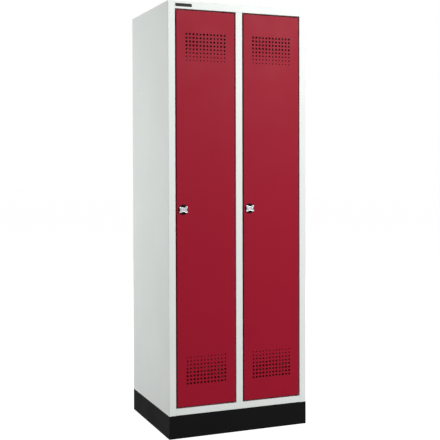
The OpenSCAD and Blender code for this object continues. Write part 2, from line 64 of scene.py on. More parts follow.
# lamps: place, point that each is aimed at, and diameter, in metres
LAMPS = {
    "key": ((2.6, -4.6, 3.4), (0, 0, 1.0), 2.6),
    "fill": ((-2.5, 1.0, 1.4), (-0.3, 0, 1.0), 1.6),
    "back": ((3.4, 3.4, 2.6), (0, 0, 1.0), 2.4),
}

# floor: half its width in metres, its own tone, and what the camera sees on top of that
FLOOR_REACH = 40
FLOOR_TONE = 0.35
FLOOR_LIFT = 0.885

# heights of the buffers on each stop lip
BUFFER_HEIGHTS = (0.2735, 1.095, 1.619)

# points closer than this are one
NEAR = 1e-6


def colour(red, green, blue):
    """Linear colour from display values of 0 to 255."""
    return tuple(
        (v / 255 / 12.92) if v / 255 <= 0.04045 else ((v / 255 + 0.055) / 1.055) ** 2.4
        for v in (red, green, blue)
    )


def colour_setting(label, about, default):
    """Colour property of the panel."""
    return FloatVectorProperty(
        name=label, description=about, subtype="COLOR", size=3, min=0, max=1, default=default
    )


def length_setting(label, about, millimetres):
    """Length property of the panel, written in millimetres and kept in metres."""
    return FloatProperty(
        name=label, description=about, unit="LENGTH", subtype="DISTANCE",
        min=0, precision=4, default=millimetres / 1000,
    )


class LockerPaint(bpy.types.PropertyGroup):
    """Colours and gloss of the locker's finishes"""

    body: colour_setting("Body", "Powder coat of the body and its frame", colour(220, 225, 222))
    door: colour_setting("Doors", "Powder coat of both doors", colour(146, 16, 39))
    plinth: colour_setting("Plinth", "Powder coat of the plinth", colour(24, 24, 25))
    plastic: colour_setting("Plastic", "Latch bases, hooks and name plate", colour(15, 15, 16))
    gloss: FloatProperty(
        name="Paint roughness", description="Roughness of the powder coat",
        subtype="FACTOR", min=0.1, max=1, default=0.46,
    )


class LockerHardware(bpy.types.PropertyGroup):
    """Sizes of the locker's small fittings"""

    knob_width: length_setting("Knob width", "Width of the knob over its wings", 37)
    knob_height: length_setting("Knob height", "Height of the knob's wings", 25)
    knob_waist: length_setting("Knob waist", "Height of the knob between its notches", 17.5)
    notch_radius: length_setting("Notch radius", "Radius of the notches at the waist", 13)
    wing_thickness: length_setting("Wing thickness", "Thickness of the knob's wings", 5)
    fin_thickness: length_setting("Fin thickness", "Thickness of the knob's grip fin", 4.5)
    eye: length_setting("Padlock eye", "Diameter of the eye in the grip fin", 7)
    spindle: length_setting("Spindle bore", "Diameter of the bore for the latch spindle", 8.1)
    barrel: length_setting("Barrel", "Diameter of the latch barrel", 18)
    rosette_thickness: length_setting("Base thickness", "Thickness of the latch's round base", 1.5)
    thread_pitch: length_setting("Thread pitch", "Pitch of the thread on the latch barrel", 1.5)
    pin: length_setting("Pin", "Diameter of the hinge pins", 6)
    bush: length_setting("Bush", "Diameter of the hinge bushes", 10)
    hook_radius: length_setting("Hook radius", "Radius of each coat hook's bend", 16)
    hook_bar: length_setting("Hook bar", "Width of a coat hook's bar", 5)
    rivet_tail: length_setting("Rivet tail", "Diameter of a rivet's set end", 6)
    edge: length_setting("Edge", "Rounding of small machined and moulded edges", 0.5)
    steps: IntProperty(
        name="Steps", description="Steps round a turned fitting", min=12, max=128, default=48
    )


class LockerStudio(bpy.types.PropertyGroup):
    """Camera and lamps"""

    lens: FloatProperty(
        name="Lens", description="Focal length of the camera in millimetres",
        min=10, max=300, default=71.989,
    )
    sky: FloatProperty(
        name="Sky", description="Strength of the light from all round",
        min=0, max=2, default=0.20,
    )
    key: FloatProperty(
        name="Key lamp", description="Watts of the lamp at the front right",
        min=0, max=2000, default=325,
    )
    fill: FloatProperty(
        name="Fill lamp", description="Watts of the lamp at the left",
        min=0, max=2000, default=42,
    )
    back: FloatProperty(
        name="Back lamp", description="Watts of the lamp at the back right",
        min=0, max=2000, default=80,
    )


def linked(tree, source, target):
    """Joins an output socket to an input socket."""
    tree.links.new(source, target)


def node(tree, kind, **values):
    """Shader node with its settings, and the values of its input sockets, both given by name."""
    made = tree.nodes.new(kind)
    for name, value in values.items():
        if hasattr(made, name):
            setattr(made, name, value)
        else:
            made.inputs[name.replace("_", " ").title()].default_value = value
    return made


def grain(tree, scale, detail=2.0, stretch=(1, 1, 1)):
    """Noise over the object, in features per metre, drawn out along an axis by a small stretch."""
    place = node(tree, "ShaderNodeTexCoord")
    stretched = node(tree, "ShaderNodeMapping")
    stretched.inputs["Scale"].default_value = stretch
    made = node(tree, "ShaderNodeTexNoise", scale=scale, detail=detail)
    linked(tree, place.outputs["Object"], stretched.inputs["Vector"])
    linked(tree, stretched.outputs["Vector"], made.inputs["Vector"])
    return made.outputs["Fac"]


def spread(tree, source, low, high, start=0.3, end=0.7):
    """Maps a noise between its start and end onto a range of values."""
    made = node(tree, "ShaderNodeMapRange")
    for name, value in zip(("From Min", "From Max", "To Min", "To Max"), (start, end, low, high)):
        made.inputs[name].default_value = value
    linked(tree, source, made.inputs["Value"])
    return made.outputs["Result"]


def tinted(tree, base, factor):
    """Base colour times a factor that varies over the surface."""
    made = node(tree, "ShaderNodeVectorMath", operation="SCALE")
    made.inputs[0].default_value = base
    linked(tree, factor, made.inputs["Scale"])
    return made.outputs["Vector"]


def product(tree, first, second):
    """One varying value times another."""
    made = node(tree, "ShaderNodeMath", operation="MULTIPLY")
    linked(tree, first, made.inputs[0])
    linked(tree, second, made.inputs[1])
    return made.outputs["Value"]


def relief(tree, height, depth, below=None):
    """Bump of a depth in metres, laid over another bump."""
    made = node(tree, "ShaderNodeBump")
    made.inputs["Strength"].default_value = 1.0
    made.inputs["Distance"].default_value = depth
    linked(tree, height, made.inputs["Height"])
    if below is not None:
        linked(tree, below, made.inputs["Normal"])
    return made.outputs["Normal"]


def finish(name):
    """New material with its node tree and Principled shader."""
    material = bpy.data.materials.new(name)
    material.use_nodes = True
    return material, material.node_tree, material.node_tree.nodes["Principled BSDF"]


def powder_coat(name, base, roughness, specular, variation=0.02):
    """Powder-coated sheet: orange peel, a slightly uneven sheet and a little tone variation."""
    material, tree, shader = finish(name)
    cloud = grain(tree, scale=3.5, detail=3)
    speck = grain(tree, scale=1400, detail=1)
    tone = product(tree, spread(tree, cloud, 1 - variation, 1 + variation),
                   spread(tree, speck, 1 - variation / 2, 1 + variation / 2))
    linked(tree, tinted(tree, base, tone), shader.inputs["Base Color"])
    rough = spread(tree, grain(tree, scale=9, detail=4), roughness - 0.04, roughness + 0.05)
    linked(tree, rough, shader.inputs["Roughness"])
    sheet = relief(tree, grain(tree, scale=5, detail=1), depth=0.0006)
    peel = relief(tree, grain(tree, scale=420, detail=2), depth=0.00003, below=sheet)
    linked(tree, peel, shader.inputs["Normal"])
    shader.inputs["Specular IOR Level"].default_value = specular
    return material


def plated(name, base, roughness, lines=(1, 1, 1), scale=220.0, depth=0.000004):
    """Plated metal with a fine grain, drawn out along the way it was polished or drawn."""
    material, tree, shader = finish(name)
    shader.inputs["Metallic"].default_value = 1.0
    tone = spread(tree, grain(tree, scale=60, detail=3, stretch=lines), 0.93, 1.04)
    linked(tree, tinted(tree, base, tone), shader.inputs["Base Color"])
    streak = grain(tree, scale=scale, detail=4, stretch=lines)
    rough = spread(tree, streak, roughness * 0.75, roughness * 1.3)
    linked(tree, rough, shader.inputs["Roughness"])
    linked(tree, relief(tree, streak, depth), shader.inputs["Normal"])
    return material


def spangled(name, base, roughness):
    """Zinc plating with its faint crystal pattern."""
    material, tree, shader = finish(name)
    shader.inputs["Metallic"].default_value = 1.0
    place = node(tree, "ShaderNodeTexCoord")
    flakes = node(tree, "ShaderNodeTexVoronoi", scale=320.0)
    linked(tree, place.outputs["Object"], flakes.inputs["Vector"])
    split = node(tree, "ShaderNodeSeparateColor")
    linked(tree, flakes.outputs["Color"], split.inputs["Color"])
    tone = spread(tree, split.outputs["Red"], 0.9, 1.05, start=0, end=1)
    linked(tree, tinted(tree, base, tone), shader.inputs["Base Color"])
    rough = spread(tree, split.outputs["Green"], roughness - 0.07, roughness + 0.09,
                   start=0, end=1)
    linked(tree, rough, shader.inputs["Roughness"])
    fine = grain(tree, scale=700, detail=3)
    linked(tree, relief(tree, fine, depth=0.000006), shader.inputs["Normal"])
    return material


def moulded(name, base, roughness, scale=900.0, depth=0.00002, specular=0.12):
    """Moulded plastic or rubber with a fine spark-eroded grain."""
    material, tree, shader = finish(name)
    tone = spread(tree, grain(tree, scale=40, detail=3), 0.92, 1.08)
    linked(tree, tinted(tree, base, tone), shader.inputs["Base Color"])
    rough = spread(tree, grain(tree, scale=120, detail=3), roughness - 0.05, roughness + 0.06)
    linked(tree, rough, shader.inputs["Roughness"])
    linked(tree, relief(tree, grain(tree, scale=scale), depth), shader.inputs["Normal"])
    shader.inputs["Specular IOR Level"].default_value = specular
    return material


def coat(name, material):
    """Gives a construction piece its finish."""
    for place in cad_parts[name].material_slots:
        place.material = material


def coat_all(ending, material):
    """Gives a finish to a piece and its twin in the other compartment."""
    for side in SIDES:
        coat(f"{side}_{ending}", material)


def drawn(shape, start, *moves):
    """Closed flat outline of straight lines to (x, y) and arcs of (centre x, centre y, degrees)."""
    step = 8
    first = last = shape.verts.new((*start, 0))
    for move in moves:
        if len(move) == 2:
            point = shape.verts.new((*move, 0))
            shape.edges.new((last, point))
            last = point
            continue
        x, y, degrees = move
        made = bmesh.ops.spin(shape, geom=[last], cent=(x, y, 0), axis=(0, 0, 1),
                              angle=math.radians(degrees), use_duplicate=False,
                              steps=max(3, round(abs(degrees) / step)))
        last = next(g for g in made["geom_last"] if isinstance(g, bmesh.types.BMVert))
    if (last.co - first.co).length > NEAR:
        shape.edges.new((last, first))
    else:
        ends = [v for v in shape.verts
                if min((v.co - last.co).length, (v.co - first.co).length) < NEAR]
        bmesh.ops.pointmerge(shape, verts=ends, merge_co=first.co)


def filled(shape):
    """Fills a flat outline, and leaves the outlines inside it open."""
    bmesh.ops.triangle_fill(shape, use_beauty=True, edges=shape.edges[:], normal=(0, 0, 1))
    inner = [e for e in shape.edges if len(e.link_faces) == 2]
    bmesh.ops.dissolve_limit(shape, angle_limit=0.01, use_dissolve_boundaries=False,
                             verts=shape.verts[:], edges=inner, delimit=set())


def raised(shape, height):
    """Gives a flat shape its thickness, upwards."""
    made = bmesh.ops.extrude_face_region(shape, geom=shape.faces[:], use_keep_orig=True)
    top = [g for g in made["geom"] if isinstance(g, bmesh.types.BMVert)]
    bmesh.ops.translate(shape, vec=(0, 0, height), verts=top)
    bmesh.ops.recalc_face_normals(shape, faces=shape.faces[:])


def rounded(shape, width, segments=3, wanted=None):
    """Rounds the sharp edges, or those of them that are wanted."""
    sharp = math.radians(50)
    edges = [e for e in shape.edges
             if len(e.link_faces) == 2 and e.calc_face_angle(0) > sharp
             and (wanted is None or wanted(e))]
    bmesh.ops.bevel(shape, geom=edges, offset=width, offset_type="OFFSET", affect="EDGES",
                    segments=segments, profile=0.5, material=-1, clamp_overlap=True)


def lathed(shape, profile, steps, closed=False):
    """Spins a profile of (radius, height) about the upward axis. A closed one makes a ring."""
    points = [shape.verts.new((radius, 0, height)) for radius, height in profile]
    edges = [shape.edges.new(pair) for pair in zip(points, points[1:])]
    if closed:
        edges.append(shape.edges.new((points[-1], points[0])))
    bmesh.ops.spin(shape, geom=points + edges, cent=(0, 0, 0), axis=(0, 0, 1), angle=math.tau,
                   steps=steps, use_merge=True, use_duplicate=False)
    bmesh.ops.remove_doubles(shape, verts=shape.verts[:], dist=NEAR)


def softened(profile, radius, steps=3):
    """Closed profile with its corners rounded as a quarter turn would."""
    made = []
    for before, here, after in zip(profile[-1:] + profile[:-1], profile,
                                   profile[1:] + profile[:1]):
        here = Vector(here)
        back, on = Vector(before) - here, Vector(after) - here
        room = min(radius, back.length * 0.45, on.length * 0.45)
        start, end = here + back.normalized() * room, here + on.normalized() * room
        for step in range(steps + 1):
            t = step / steps
            made.append(start * (1 - t) ** 2 + here * 2 * t * (1 - t) + end * t * t)
    return [tuple(point) for point in made]


def placed(whole, part, *places):
    """Adds a copy of a small shape to a piece at each of its places, and frees the small one."""
    for place in places:
        mesh = bpy.data.meshes.new("copy")
        part.to_mesh(mesh)
        mesh.transform(place)
        whole.from_mesh(mesh)
        bpy.data.meshes.remove(mesh)
    part.free()


def at(x, y, z):
    """Place that keeps its axes."""
    return Matrix.Translation((x, y, z))


def to_front(x, y, z):
    """Place whose upward axis points out of the doors."""
    return at(x, y, z) @ Matrix.Rotation(math.pi / 2, 4, "X")


def to_right(x, y, z):
    """Place whose flat axes are Y and Z, and whose upward axis points to the right."""
    return at(x, y, z) @ Matrix(((0, 0, 1, 0), (1, 0, 0, 0), (0, 1, 0, 0), (0, 0, 0, 1)))


def paired(x):
    """A place in the left compartment and the same one in the right compartment."""
    left, right = (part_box(f"{side}_door_panel")[0].x for side in SIDES)
    return x, x + right - left


def piece(name, shape, material, body, slot, *stands_for):
    """Makes the finished object, lets it ride on its body and stand for its construction pieces."""
    bmesh.ops.remove_doubles(shape, verts=shape.verts[:], dist=NEAR)
    bmesh.ops.recalc_face_normals(shape, faces=shape.faces[:])
    crease = math.radians(38)
    for face in shape.faces:
        face.smooth = True
    for edge in shape.edges:
        edge.smooth = edge.calc_face_angle(math.pi) < crease
    mesh = bpy.data.meshes.new(name)
    shape.to_mesh(mesh)
    shape.free()
    mesh.materials.append(material)
    made = bpy.data.objects.new(name, mesh)
    made.modifiers.new("even_shading", "WEIGHTED_NORMAL").keep_sharp = True
    bpy.context.scene.collection.objects.link(made)
    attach(made, body)
    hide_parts(*stands_for)
    return made


def known(name, make, *values):
    """The finish of that name, made when it is first asked for."""
    return bpy.data.materials.get(name) or make(name, *values)


def zinc():
    """The plating that the steel fittings share."""
    return known("zinc_plating", spangled, (0.62, 0.63, 0.65), 0.36)


class LOCKER_OT_camera(bpy.types.Operator):
    """Sets up the camera at the height and angle of the reference view"""

    bl_idname = "locker.camera"
    bl_label = "Camera"

    def execute(self, context):
        eye = bpy.data.cameras.new("locker_camera")
        eye.lens = context.scene.locker_studio.lens
        # the upright format leaves the turned views room for the shift
        eye.sensor_fit = "VERTICAL"
        eye.sensor_width, eye.sensor_height = EYE_SENSOR
        eye.shift_x, eye.shift_y = EYE_SHIFT
        holder = bpy.data.objects.new("locker_camera", eye)
        holder.location = EYE_PLACE
        holder.rotation_euler = [math.radians(angle) for angle in EYE_TURN]
        context.scene.collection.objects.link(holder)
        context.scene.camera = holder
        return {"FINISHED"}


class LOCKER_OT_stage(bpy.types.Operator):
    """Lays the floor and lights the locker"""

    bl_idname = "locker.stage"
    bl_label = "Floor and lamps"

    def execute(self, context):
        studio = context.scene.locker_studio
        self.floor(context)
        self.sky(context, studio.sky)
        for name, power in (("key", studio.key), ("fill", studio.fill), ("back", studio.back)):
            self.lamp(context, f"{name}_lamp", *LAMPS[name], power)
        return {"FINISHED"}

    def floor(self, context):
        shape = bmesh.new()
        bmesh.ops.create_grid(shape, x_segments=2, y_segments=2, size=FLOOR_REACH)
        mesh = bpy.data.meshes.new("floor")
        shape.to_mesh(mesh)
        shape.free()
        floor = bpy.data.objects.new("floor", mesh)
        material, tree, shader = finish("studio_floor")
        shader.inputs["Base Color"].default_value = (FLOOR_TONE, FLOOR_TONE, FLOOR_TONE, 1)
        shader.inputs["Roughness"].default_value = 0.9
        shader.inputs["Specular IOR Level"].default_value = 0.1
        ray = node(tree, "ShaderNodeLightPath")
        seen = node(tree, "ShaderNodeMath", operation="MAXIMUM")
        linked(tree, ray.outputs["Is Camera Ray"], seen.inputs[0])
        linked(tree, ray.outputs["Is Glossy Ray"], seen.inputs[1])
        lift = node(tree, "ShaderNodeMath", operation="MULTIPLY")
        linked(tree, seen.outputs["Value"], lift.inputs[0])
        lift.inputs[1].default_value = FLOOR_LIFT
        shader.inputs["Emission Color"].default_value = (1, 1, 1, 1)
        linked(tree, lift.outputs["Value"], shader.inputs["Emission Strength"])
        mesh.materials.append(material)
        context.scene.collection.objects.link(floor)

    def sky(self, context, strength):
        world = bpy.data.worlds.new("studio_sky")
        world.use_nodes = True
        tree = world.node_tree
        plain = tree.nodes["Background"]
        plain.inputs["Color"].default_value = (1, 1, 1, 1)
        ray = node(tree, "ShaderNodeLightPath")
        seen = node(tree, "ShaderNodeMath", operation="MAXIMUM")
        linked(tree, ray.outputs["Is Camera Ray"], seen.inputs[0])
        linked(tree, ray.outputs["Is Glossy Ray"], seen.inputs[1])
        through = node(tree, "ShaderNodeMath", operation="MAXIMUM")
        linked(tree, seen.outputs["Value"], through.inputs[0])
        linked(tree, ray.outputs["Is Transmission Ray"], through.inputs[1])
        level = node(tree, "ShaderNodeMapRange")
        level.inputs["To Min"].default_value = strength
        level.inputs["To Max"].default_value = 1.0
        linked(tree, through.outputs["Value"], level.inputs["Value"])
        linked(tree, level.outputs["Result"], plain.inputs["Strength"])
        context.scene.world = world

    def lamp(self, context, name, place, target, size, power):
        light = bpy.data.lights.new(name, "AREA")
        light.shape = "DISK"
        light.size = size
        light.energy = power
        holder = bpy.data.objects.new(name, light)
        holder.location = place
        holder.rotation_euler = (Vector(target) - Vector(place)).to_track_quat("-Z", "Y").to_euler()
        context.scene.collection.objects.link(holder)


class LOCKER_OT_painted_sheets(bpy.types.Operator):
    """Powder-coats the body, the doors and the plinth"""

    bl_idname = "locker.painted_sheets"
    bl_label = "Painted sheets"

    def execute(self, context):
        paint = context.scene.locker_paint
        body = powder_coat("body_powder_coat", paint.body, paint.gloss, specular=0.35)
        door = powder_coat("door_powder_coat", paint.door, paint.gloss, specular=0.09)
        plinth = powder_coat("plinth_powder_coat", paint.plinth, paint.gloss + 0.1,
                             specular=0.01, variation=0.06)
        for name in ("left_side_panel", "right_side_panel", "centre_mullion", "centre_partition",
                     "top_panel", "floor_panel", "back_panel"):
            coat(name, body)
        coat_all("hat_shelf", body)
        for part in ("door_panel", "door_stiffener"):
            coat_all(part, door)
        for part in ("front", "back", "left", "right"):
            coat(f"plinth_{part}", plinth)
        return {"FINISHED"}


class LOCKER_OT_metal_fittings(bpy.types.Operator):
    """Plates the rails, sockets, latch plates and spindles"""

    bl_idname = "locker.metal_fittings"
    bl_label = "Metal fittings"

    def execute(self, context):
        rail = plated("drawn_rail_plating", (0.74, 0.75, 0.77), 0.22, lines=(0.02, 1, 1))
        coat("rail_brackets", zinc())
        coat_all("clothes_rail", rail)
        for part in ("latch_plate", "latch_spindle"):
            coat_all(part, zinc())
        return {"FINISHED"}


class LOCKER_OT_latch_knobs(bpy.types.Operator):
    """Makes the bow-tie knobs with their grip fins and padlock eyes"""

    bl_idname = "locker.latch_knobs"
    bl_label = "Latch knobs"

    def execute(self, context):
        sizes = context.scene.locker_hardware
        chrome = plated("knob_chrome", (0.54, 0.55, 0.57), 0.14, scale=90, depth=0.000006)
        for side in SIDES:
            name = f"{side}_latch_knob"
            low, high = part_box(name)
            centre = (low + high) / 2
            whole = bmesh.new()
            placed(whole, self.wings(sizes), to_front(centre.x, high.y, centre.z))
            front = high.y - sizes.wing_thickness
            placed(whole, self.fin(sizes, front - low.y), at(centre.x, front, centre.z))
            piece(f"{side}_bow_tie_knob", whole, chrome, f"{side}_latch", "knob_chrome", name)
        return {"FINISHED"}

    def wings(self, sizes):
        """Plate with notches above and below, shallow dips at its ends and a sunk front."""
        half_w, half_h = sizes.knob_width / 2, sizes.knob_height / 2
        notch = sizes.notch_radius
        notch_y = sizes.knob_waist / 2 + notch
        top_x = math.sqrt(notch ** 2 - (notch_y - half_h) ** 2)
        notch_turn = 2 * math.degrees(math.asin(top_x / notch))
        dip, dip_radius = 0.003, 0.014
        dip_x = half_w - dip + dip_radius
        dip_y = math.sqrt(dip_radius ** 2 - (dip_radius - dip) ** 2)
        dip_turn = 2 * math.degrees(math.asin(dip_y / dip_radius))
        corner, front_edge = 0.0022, 0.0013
        x, y = half_w - corner, half_h - corner
        shape = bmesh.new()
        drawn(shape, (top_x, half_h), (x, half_h), (x, y, -90),
              (half_w, dip_y), (dip_x, 0, dip_turn), (half_w, -y),
              (x, -y, -90), (top_x, -half_h), (0, -notch_y, notch_turn),
              (-x, -half_h), (-x, -y, -90), (-half_w, -dip_y),
              (-dip_x, 0, dip_turn), (-half_w, y), (-x, y, -90),
              (-top_x, half_h), (0, notch_y, notch_turn))
        bmesh.ops.contextual_create(shape, geom=shape.edges[:])
        raised(shape, sizes.wing_thickness)
        middle = sizes.wing_thickness / 2
        rounded(shape, front_edge, 4, lambda e: all(v.co.z > middle for v in e.verts))
        front = max(shape.faces, key=lambda f: f.calc_center_median().z + f.calc_area())
        bmesh.ops.inset_region(shape, faces=[front], thickness=0.0009, depth=-0.0004,
                               use_even_offset=True)
        return shape

    def fin(self, sizes, height):
        """Upright grip of rounded outline with the padlock eye, rooted a little in the wings."""
        radius, root, edge = 0.015, 0.001, 0.0007
        back_y = radius - height
        foot = math.sqrt(radius ** 2 - back_y ** 2)
        turn = 180 - 2 * math.degrees(math.acos(foot / radius))
        shape = bmesh.new()
        drawn(shape, (foot, root), (foot, 0), (0, back_y, -turn), (-foot, root))
        bmesh.ops.create_circle(shape, segments=32, radius=sizes.eye / 2,
                                matrix=at(0, -height / 2, 0))
        filled(shape)
        raised(shape, sizes.fin_thickness)
        rounded(shape, edge, wanted=lambda e: all(v.co.y < root / 5 for v in e.verts))
        bmesh.ops.translate(shape, vec=(0, 0, -sizes.fin_thickness / 2), verts=shape.verts[:])
        return shape


class LOCKER_OT_latch_barrels(bpy.types.Operator):
    """Turns the latch barrels with their round bases"""

    bl_idname = "locker.latch_barrels"
    bl_label = "Latch bases and barrels"

    def execute(self, context):
        sizes = context.scene.locker_hardware
        # The round bases are black plastic at half the plastic's tone, a painted shade round the
        # knobs that darkens the arcs above and below each knob's waist.
        plastic_tone_and_shade = [0.5 * level for level in context.scene.locker_paint.plastic]
        black = moulded("latch_plastic_and_shade", plastic_tone_and_shade, 0.42, specular=0.05)
        for side in SIDES:
            name = f"{side}_latch_barrel"
            low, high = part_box(name)
            centre = (low + high) / 2
            length = high.y - low.y
            back = length - sizes.rosette_thickness
            thread = back - 0.0032
            thread_depth, tail = 0.0005, 0.0006
            bore, tube, base = sizes.spindle / 2, sizes.barrel / 2, (high.x - low.x) / 2
            rim = [(bore, length - 0.0004), (bore + 0.0004, length), (tube + 0.001, length),
                   (tube + 0.0018, length - 0.0003), (base - 0.0022, length - 0.0003),
                   (base - 0.0010, length - 0.00045), (base - 0.0003, length - 0.0009),
                   (base, back + 0.0003), (base, back), (tube, back)]
            grooves = []
            for turn in range(int(thread / sizes.thread_pitch)):
                top = thread - turn * sizes.thread_pitch
                grooves += [(tube, top), (tube - thread_depth, top - sizes.thread_pitch * 0.45),
                            (tube, top - sizes.thread_pitch * 0.9)]
            whole = bmesh.new()
            lathed(whole, rim + grooves + [(tube - tail, 0), (bore, 0)], sizes.steps, closed=True)
            bmesh.ops.transform(whole, matrix=to_front(centre.x, high.y, centre.z),
                                verts=whole.verts[:])
            piece(f"{side}_latch_base", whole, black, f"{side}_door", "latch_base", name)
        return {"FINISHED"}


class LOCKER_OT_latch_fixings(bpy.types.Operator):
    """Makes each latch's nut, cam and cam screw"""

    bl_idname = "locker.latch_fixings"
    bl_label = "Latch nuts, cams and screws"

    def execute(self, context):
        sizes = context.scene.locker_hardware
        for side in SIDES:
            self.nut(side, sizes)
            self.cam(side, sizes)
            self.screw(side, sizes)
        return {"FINISHED"}

    def nut(self, side, sizes):
        """Hexagon nut with a corner at each side, rounded round its outside."""
        low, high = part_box(f"{side}_barrel_nut")
        centre = (low + high) / 2
        bore = sizes.barrel / 2 + 0.0001
        outer = sizes.barrel / 2 + 0.0015
        part = bmesh.new()
        bmesh.ops.create_circle(part, segments=6, radius=(high.x - low.x) / 2,
                                matrix=Matrix.Rotation(math.radians(30), 4, "Z"))
        bmesh.ops.create_circle(part, segments=sizes.steps, radius=bore)
        filled(part)
        raised(part, high.y - low.y)
        rounded(part, sizes.edge, 2, lambda e: all(math.hypot(*v.co.xy) > outer for v in e.verts))
        whole = bmesh.new()
        placed(whole, part, to_front(centre.x, high.y, centre.z))
        piece(f"{side}_latch_nut", whole, zinc(), f"{side}_door", "zinc", f"{side}_barrel_nut")

    def cam(self, side, sizes):
        """Flat arm with round ends that hangs from the spindle."""
        low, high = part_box(f"{side}_latch_cam")
        half = (high.x - low.x) / 2
        reach = high.z - low.z - 2 * half
        part = bmesh.new()
        drawn(part, (half, 0), (0, 0, 180), (-half, -reach), (0, -reach, 180))
        bmesh.ops.contextual_create(part, geom=part.edges[:])
        raised(part, high.y - low.y)
        rounded(part, sizes.edge)
        whole = bmesh.new()
        placed(whole, part, to_front((low.x + high.x) / 2, high.y, high.z - half))
        piece(f"{side}_locking_cam", whole, zinc(), f"{side}_latch", "zinc", f"{side}_latch_cam")

    def screw(self, side, sizes):
        """Domed screw head with a round recess, on the back of the cam."""
        low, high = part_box(f"{side}_cam_screw")
        cam_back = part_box(f"{side}_latch_cam")[1].y
        centre = (low + high) / 2
        head = high.y - cam_back
        wide = (high.x - low.x) / 2
        recess, depth = 0.0024, 0.0016
        part = bmesh.new()
        lathed(part, [(0, head - depth), (recess, head - depth), (recess + 0.0004, head),
                      (wide - 0.0014, head), (wide - 0.0005, head - 0.0004), (wide, head - 0.0013),
                      (wide, 0), (0, 0)], sizes.steps // 2)
        whole = bmesh.new()
        placed(whole, part,
               to_front(centre.x, cam_back, centre.z) @ Matrix.Rotation(math.pi, 4, "X"))
        piece(f"{side}_cap_screw", whole, zinc(), f"{side}_latch", "zinc", f"{side}_cam_screw")


class LOCKER_OT_coat_hooks(bpy.types.Operator):
    """Makes the sliding double coat hooks"""

    bl_idname = "locker.coat_hooks"
    bl_label = "Coat hooks"

    def execute(self, context):
        sizes = context.scene.locker_hardware
        black = known("moulded_plastic", moulded, context.scene.locker_paint.plastic, 0.42)
        for side in SIDES:
            rail_low, rail_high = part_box(f"{side}_clothes_rail")
            rail_h = rail_high.z - rail_low.z
            rail_z = (rail_low.z + rail_high.z) / 2
            for number in (1, 2, 3):
                name = f"{side}_hook_{number}"
                low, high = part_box(name)
                centre_x = (low.x + high.x) / 2
                bend_z = low.z + sizes.hook_radius + sizes.hook_bar / 2
                stem = rail_z - bend_z - rail_h / 2 - 0.0008
                whole = bmesh.new()
                placed(whole, self.anchor(sizes, stem),
                       to_right(centre_x - sizes.hook_bar / 2, 0, bend_z))
                placed(whole, self.loop(high.x - low.x, rail_high.y, rail_h),
                       to_right(low.x, 0, rail_z))
                piece(f"{side}_coat_hook_{number}", whole, black,
                      f"{name}_slider", "hook_plastic", name)
        return {"FINISHED"}

    def anchor(self, sizes, stem):
        """Two hooks that part from one stem, in one flat outline."""
        bend, half = sizes.hook_radius, sizes.hook_bar / 2
        inner, outer = bend - half, bend + half
        tip, ball, edge = 0.006, half + 0.001, 0.0012
        meet = math.degrees(math.acos(bend / outer))
        joins = math.sqrt(ball ** 2 - half ** 2)
        open_turn = 360 - 2 * math.degrees(math.asin(half / ball))
        shape = bmesh.new()
        drawn(shape, (half, stem), (half, 0), (bend, 0, 180), (2 * bend - half, tip - joins),
              (2 * bend, tip, -open_turn), (2 * bend + half, 0),
              (bend, 0, -(180 - meet)), (-bend, 0, -(180 - meet)), (-2 * bend - half, tip - joins),
              (-2 * bend, tip, -open_turn), (-2 * bend + half, 0), (-bend, 0, 180), (-half, stem))
        bmesh.ops.contextual_create(shape, geom=shape.edges[:])
        raised(shape, sizes.hook_bar)
        rounded(shape, edge, wanted=lambda e: all(v.co.y < stem - 0.0001 for v in e.verts))
        return shape

    def loop(self, width, half, height):
        """Band round the rail's oval section."""
        gap, wall, edge = 0.0003, 0.0025, 0.0006
        straight = height / 2 - half
        shape = bmesh.new()
        for radius in (half + gap, half + gap + wall):
            drawn(shape, (radius, -straight), (radius, straight), (0, straight, 180),
                  (-radius, -straight), (0, -straight, 180))
        filled(shape)
        raised(shape, width)
        rounded(shape, edge, 2)
        return shape


